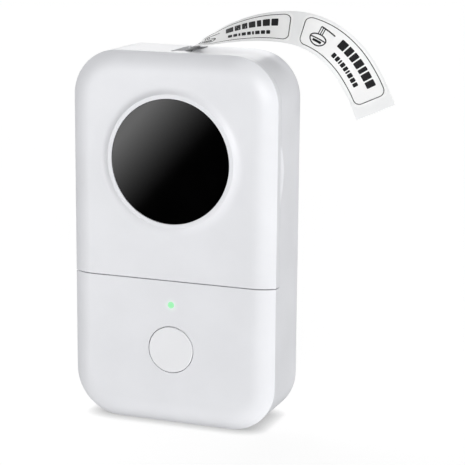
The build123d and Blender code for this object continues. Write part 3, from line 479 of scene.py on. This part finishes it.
def rounded_path(start, end, low, high, radius):
    """Points (s, t) round a rounded rectangle."""
    points = []
    corners = ((end - radius, high - radius, 0), (start + radius, high - radius, 90),
               (start + radius, low + radius, 180), (end - radius, low + radius, 270))
    for s, t, turn in corners:
        for a in range(0, 91, 15):
            points.append((s + radius * cos(radians(turn + a)), t + radius * sin(radians(turn + a))))
    filled = []
    for i, (s, t) in enumerate(points):
        after = points[(i + 1) % len(points)]
        gap = ((after[0] - s) ** 2 + (after[1] - t) ** 2) ** 0.5
        count = max(1, int(gap / MESH_STEP))
        filled.extend((s + (after[0] - s) * k / count, t + (after[1] - t) * k / count) for k in range(count))
    return filled


# ---------------------------------------------------------------- label tape
# Each station of the curl: its place in mm, then the lift and turn of the tape's width in degrees.
TAPE_STATIONS = (
    ((1.5, 1.7, 131.0), 0, 0),
    ((9.0, 3.6, 134.9), 15, -12),
    ((18.5, 6.0, 137.9), 29, -14),
    ((29.0, 9.0, 139.2), 41, -12),
    ((38.0, 11.4, 138.4), 50, 0),
    ((46.5, 13.0, 134.8), 56, 18),
    ((53.5, 13.4, 129.0), 58, 38),
    ((59.5, 12.4, 121.3), 54, 52),
    ((65.0, 10.0, 111.5), 48, 60),
)
# Where the tape leaves the roll, in mm, and the way it points at its free end.
TAPE_TOUCH = (-15.447, 1.7, 103.530)
TAPE_END_WAY = (0.45, -0.2, -0.87)
STRAIGHT_STEPS = 12
CURL_STEPS = 16
TAPE_HALF = 7 * MM
TAPE_HALF_THICKNESS = 0.08 * MM
# Each layer reaches a little into the one under it.
LAYER_SINK = 0.01 * MM
LINER_TOP = -0.01 * MM
LABEL_BASE = LINER_TOP - LAYER_SINK
LABEL_TOP = 0.06 * MM
PRINT_BASE = LABEL_TOP - LAYER_SINK
PRINT_TOP = 0.075 * MM
LABEL_HALF = 6.3 * MM
LABEL_MARGIN = 0.8 * MM
LABEL_CORNER = 2.2 * MM
TAIL_MARGIN = 0.5 * MM
FRAME_LENGTH = 35.2 * MM
FRAME_HALF = 5.5 * MM
FRAME_STARTS = (-41.1 * MM, -0.2 * MM, 39.6 * MM)
FRAME_LINE = 0.3 * MM
BOWL_AT = 6.2 * MM
BOWL_HALF = 3.0 * MM
# Height of the bowl's rim and width of its lines, in mm.
BOWL_RIM = -1.2
BOWL_LINE = 0.45
# Rows of print in mm: lower and upper edge, start, gap between bars, and the length of each bar.
PRINT_ROWS = ((0.3, 3.6, 13.0, 0.5, (2.7, 2.1, 1.9, 2.3, 1.5, 2.4, 2.3)),
              (-3.6, -1.8, 13.8, 0.4, (1.5, 1.4, 0.7, 1.5, 1.3, 0.7, 1.6, 1.5, 1.4)))
PRINT_CORNER = 0.3 * MM


def unit(rows):
    """Rows cut to a length of one."""
    return rows / np.linalg.norm(rows, axis=-1, keepdims=True)


def eased(values, spans, first=None, last=None):
    """Smooth curve through the values, with each span cut into steps."""
    rates = np.diff(values, axis=0) / spans[:, None]
    slopes = np.vstack([rates[:1], rates])
    before, after = spans[:-1, None], spans[1:, None]
    slopes[1:-1] = (rates[1:] * before + rates[:-1] * after) / (before + after)
    if first is not None:
        slopes[0], slopes[-1] = first, last
    rows = []
    for i, span in enumerate(spans):
        for u in np.arange(CURL_STEPS) / CURL_STEPS:
            near_value, near_slope = 2 * u ** 3 - 3 * u ** 2 + 1, (u ** 3 - 2 * u ** 2 + u) * span
            far_value, far_slope = 3 * u ** 2 - 2 * u ** 3, (u ** 3 - u ** 2) * span
            rows.append(near_value * values[i] + near_slope * slopes[i]
                        + far_value * values[i + 1] + far_slope * slopes[i + 1])
    return np.array(rows + [values[-1]])


def tape_table():
    """Rows of the tape: distance from the slot, place, width direction and outward direction."""
    places = np.array([row[0] for row in TAPE_STATIONS]) * MM
    turns = np.radians(np.array([row[1:] for row in TAPE_STATIONS], float))
    touch = np.array(TAPE_TOUCH) * MM
    spans = np.linalg.norm(np.diff(places, axis=0), axis=1)
    start_way = unit(places[0] - touch)
    curl = eased(places, spans, start_way, unit(np.array(TAPE_END_WAY)))
    turns = eased(turns, spans)
    shares = np.linspace(0, 1, STRAIGHT_STEPS, endpoint=False)[:, None]
    places = np.vstack([touch + (places[0] - touch) * shares, curl])
    turns = np.vstack([np.zeros((STRAIGHT_STEPS, 2)), turns])
    far = np.concatenate([[0], np.cumsum(np.linalg.norm(np.diff(places, axis=0), axis=1))])
    far -= far[STRAIGHT_STEPS]
    lift, turn = turns[:, 0], turns[:, 1]
    widths = np.stack([np.sin(turn) * np.cos(lift), np.cos(turn) * np.cos(lift), np.sin(lift)], axis=1)
    ways = unit(np.gradient(places, axis=0))
    widths = unit(widths - ways * np.sum(widths * ways, axis=1, keepdims=True))
    return far, places, widths, np.cross(ways, widths)


tape_far, tape_places, tape_widths, tape_outs = tape_table()


def on_tape(far, across, out):
    """Place at a distance along the tape, across it and out from its middle."""
    def at(rows):
        return np.array([np.interp(far, tape_far, rows[:, axis]) for axis in range(3)])
    return at(tape_places) + at(tape_widths) * across + at(tape_outs) * out


def tape_liner():
    """The silicone-coated carrier strip, from the roll out through the slot."""
    shape = Shape()
    sections = []
    for far in tape_far:
        corners = ((-TAPE_HALF, -TAPE_HALF_THICKNESS), (TAPE_HALF, -TAPE_HALF_THICKNESS),
                   (TAPE_HALF, LINER_TOP), (-TAPE_HALF, LINER_TOP))
        sections.append([on_tape(far, across, out) for across, out in corners])
    shape.loft(sections)
    made = shape.piece("tape_liner", "case", [liner_paper])
    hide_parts("label_strip")


def print_bowl(shape, middle):
    """Plain bowl on a foot, with three strands lifted on a stick. Its numbers are mm from its middle."""
    def line(start, end, width):
        ends = [(middle + s * MM, t * MM) for s, t in (start, end)]
        shape.bar(on_tape, *ends, width * MM, PRINT_BASE, PRINT_TOP, 1)

    def arc(first, last, rise):
        turns = [radians(a) for a in range(first, last, 15)]
        return [(middle + BOWL_HALF * cos(a), (BOWL_RIM + rise * sin(a)) * MM) for a in turns]

    outline = arc(180, 361, 2.6) + arc(15, 180, 1.7)
    shape.stroke(on_tape, outline, BOWL_LINE * MM, PRINT_BASE, PRINT_TOP, 1)
    line((-2.7, BOWL_RIM), (2.7, BOWL_RIM), BOWL_LINE)
    line((-1.7, -2.2), (1.7, -2.2), 0.9)
    for shift in (-0.8, -0.1, 0.6):
        line((shift, 0.7), (shift, 3.4), 0.32)
    line((-0.9, 3.5), (4.4, 2.7), 0.5)


def print_label(shape, start):
    """Thin rounded frame, a bowl pictogram and two rows of plain bars, all without lettering."""
    outline = rounded_path(start, start + FRAME_LENGTH, -FRAME_HALF, FRAME_HALF, LABEL_CORNER)
    shape.stroke(on_tape, outline, FRAME_LINE, PRINT_BASE, PRINT_TOP, 1)
    print_bowl(shape, start + BOWL_AT)
    for low, high, begin, gap, bars in PRINT_ROWS:
        far = start + begin * MM
        for bar in bars:
            shape.slab(on_tape, far, far + bar * MM, low * MM, high * MM,
                       PRINT_CORNER, PRINT_BASE, PRINT_TOP, 1)
            far += (bar + gap) * MM


def tape_labels():
    """Die-cut labels on the liner; those past the print head carry their print."""
    shape = Shape()
    tail = tape_far[0] + TAIL_MARGIN
    for start in FRAME_STARTS:
        near, end = max(start - LABEL_MARGIN, tail), start + FRAME_LENGTH + LABEL_MARGIN
        shape.slab(on_tape, near, end, -LABEL_HALF, LABEL_HALF, LABEL_CORNER, LABEL_BASE, LABEL_TOP)
        if start > tail:
            print_label(shape, start)
    shape.piece("tape_labels", "case", [finishes["label_paper"], label_ink])


tape_liner()
tape_labels()


# ---------------------------------------------------------------- label roll
ROLL_RADIUS = 18 * MM
CORE_RADIUS = 7.6 * MM
TAPE_LOW_Y = -5.3 * MM
TAPE_HIGH_Y = 8.7 * MM
TURN_PITCH = 0.26 * MM
TURN_STAGGER = 0.09 * MM
TURN_GAP = 0.03 * MM
TURN_BEVEL = 0.08 * MM
ROLL_STEPS = 120
ROLL_LABEL_STARTS = (36.9 * MM, 78.72 * MM)
ROLL_LABEL_BASE = -0.03 * MM
ROLL_LABEL_TOP = 0.05 * MM


def on_roll(far, across, out):
    """Place on the roll's outer face, at an arc length round it."""
    angle = far / ROLL_RADIUS
    radius = ROLL_RADIUS + out
    middle = (TAPE_LOW_Y + TAPE_HIGH_Y) / 2
    return np.array([radius * cos(angle), middle + across, ROLL_HEIGHT + radius * sin(angle)])


def label_roll():
    """Wound tape, with the edge of each turn a little in or out, and blank labels on its outer turn."""
    draw = random.Random(7)
    turns = int((ROLL_RADIUS - CORE_RADIUS) / TURN_PITCH)
    front, back = [], []
    for i in range(turns):
        inner = CORE_RADIUS + (ROLL_RADIUS - CORE_RADIUS) * i / turns
        outer = CORE_RADIUS + (ROLL_RADIUS - CORE_RADIUS) * (i + 1) / turns
        low = TAPE_LOW_Y + draw.uniform(0, TURN_STAGGER)
        high = TAPE_HIGH_Y - draw.uniform(0, TURN_STAGGER)
        front += [(inner + TURN_GAP, low), (outer - TURN_GAP, low), (outer, low + TURN_BEVEL)]
        back += [(inner + TURN_GAP, high), (outer - TURN_GAP, high), (outer, high - TURN_BEVEL)]
    profile = front + back[::-1]
    sections = []
    for step in range(ROLL_STEPS):
        angle = 2 * pi * step / ROLL_STEPS
        sections.append([(r * cos(angle), y, ROLL_HEIGHT + r * sin(angle)) for r, y in profile])
    shape = Shape()
    shape.loft(sections, closed=True)
    for start in ROLL_LABEL_STARTS:
        end = start + FRAME_LENGTH + 2 * LABEL_MARGIN
        shape.slab(on_roll, start, end, -LABEL_HALF, LABEL_HALF,
                   LABEL_CORNER, ROLL_LABEL_BASE, ROLL_LABEL_TOP, 1)
    papers = [roll_paper, finishes["label_paper"]]
    made = shape.piece("roll_windings", "roll", papers, sharp=25)
    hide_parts("label_roll")


label_roll()


# ---------------------------------------------------------------- studio
FLOOR_HALF = 12.0
FLOOR_LEVEL = 0.88
# Brightness of the floor's painted contact shadow where the object touches it, and how far that painted
# shadow reaches.
FLOOR_PAINTED_SHADOW = 0.3
FLOOR_PAINTED_SHADOW_REACH = 5 * MM
WORLD_GROUND = 0.004
WORLD_SKY = 0.06
REFLECTOR_Y = -0.5
REFLECTOR_LOW = (-0.8, -0.4)
REFLECTOR_HIGH = (0.1, 0.5)
REFLECTOR_LEVEL = 2.0
# The card brightens with this mix of x and z, between the two values of REFLECTOR_FADE.
REFLECTOR_WAY = (-0.395, 0.352)
REFLECTOR_FADE = (0.0745, 0.0982)
# Inside these two places its left and upper edges no longer fade.
REFLECTOR_SOFT_X = -0.45
REFLECTOR_SOFT_Z = 0.2


def emitter(name):
    """Matt material that gives off white light. The caller links its strength."""
    return material(name, Roughness=0.9, Specular_IOR_Level=0.0, Emission_Color=(1, 1, 1, 1))


def sheet(name, corners, made):
    """Flat sheet with four corners."""
    mesh = bpy.data.meshes.new(name)
    mesh.from_pydata(corners, [], [(0, 1, 2, 3)])
    mesh.materials.append(made)
    flat = bpy.data.objects.new(name, mesh)
    scene.collection.objects.link(flat)
    return flat


def make_floor():
    """Pale glowing floor that the object stands on, with a painted contact shadow where its glow dims near
    the object. It stays out of the gloss, so that the window stays dark.
    """
    made, tree, shader = emitter("floor")
    made.cycles.emission_sampling = "NONE"
    # Painted contact shadow: the floor's glow drops with the ambient occlusion near the object.
    painted_shadow_mask = node(tree, "ShaderNodeAmbientOcclusion", {"Distance": FLOOR_PAINTED_SHADOW_REACH}, samples=8).outputs["AO"]
    link(tree, spread(tree, painted_shadow_mask, FLOOR_PAINTED_SHADOW, FLOOR_LEVEL, 0, 1), shader, "Emission Strength")
    cloud = noise(tree, coordinates(tree), 3, 2.0)
    link(tree, tint(tree, cloud, (0.19, 0.19, 0.19), (0.21, 0.21, 0.21)), shader, "Base Color")
    half = FLOOR_HALF
    floor = sheet("floor", [(-half, -half, 0), (half, -half, 0), (half, half, 0), (-half, half, 0)], made)
    floor.visible_glossy = False


def soft_light(name, azimuth, elevation, level, spread_angle=34):
    """Broad soft light from one side. Level is the brightness it gives a white card facing it."""
    light = bpy.data.lights.new(name, "SUN")
    light.energy = level * pi
    light.angle = radians(spread_angle)
    made = bpy.data.objects.new(name, light)
    scene.collection.objects.link(made)
    made.rotation_mode = "QUATERNION"
    made.rotation_quaternion = direction(radians(azimuth), radians(elevation)).to_track_quat("Z", "Y")


def make_world():
    """Dim pale sky over a dark ground."""
    world = bpy.data.worlds.new("studio")
    scene.world = world
    world.use_nodes = True
    tree = world.node_tree
    sky = node(tree, "ShaderNodeTexCoord").outputs["Generated"]
    rise = node(tree, "ShaderNodeSeparateXYZ", {"Vector": sky}).outputs["Z"]
    background = tree.nodes["Background"]
    background.inputs["Color"].default_value = (1, 1, 1, 1)
    tree.links.new(spread(tree, rise, WORLD_GROUND, WORLD_SKY, -0.05, 0.1), background.inputs["Strength"])


def make_reflector():
    """Card on the front left that only the gloss shows, bright at its upper left corner."""
    (left, low), (right, high) = REFLECTOR_LOW, REFLECTOR_HIGH
    made, tree, shader = emitter("reflector")
    shader.inputs["Base Color"].default_value = (0, 0, 0, 1)
    axes = node(tree, "ShaderNodeSeparateXYZ", {"Vector": coordinates(tree)}).outputs
    shares = [math(tree, "MULTIPLY", axes[key], way) for key, way in zip("XZ", REFLECTOR_WAY)]
    fade = math(tree, "POWER", spread(tree, math(tree, "ADD", *shares), 0, 1, *REFLECTOR_FADE), 2.0)
    side = spread(tree, axes["X"], 0, 1, left, REFLECTOR_SOFT_X)
    top = spread(tree, axes["Z"], 1, 0, REFLECTOR_SOFT_Z, high)
    level = math(tree, "MULTIPLY", fade, math(tree, "MULTIPLY", side, top))
    link(tree, math(tree, "MULTIPLY", level, REFLECTOR_LEVEL), shader, "Emission Strength")
    card = sheet("reflector", [(left, REFLECTOR_Y, low), (right, REFLECTOR_Y, low),
                               (right, REFLECTOR_Y, high), (left, REFLECTOR_Y, high)], made)
    card.visible_camera = False
    card.visible_diffuse = False
    card.visible_shadow = False


scene.view_settings.view_transform = "Standard"
scene.view_settings.look = "None"
make_world()
make_floor()
make_reflector()
soft_light("front_key", 22, 8, 0.48)
soft_light("top_front", 0, 50, 0.14)
soft_light("right_key", 88, 3, 0.55, 24)
soft_light("back_light", -138, 34, 0.62, 70)
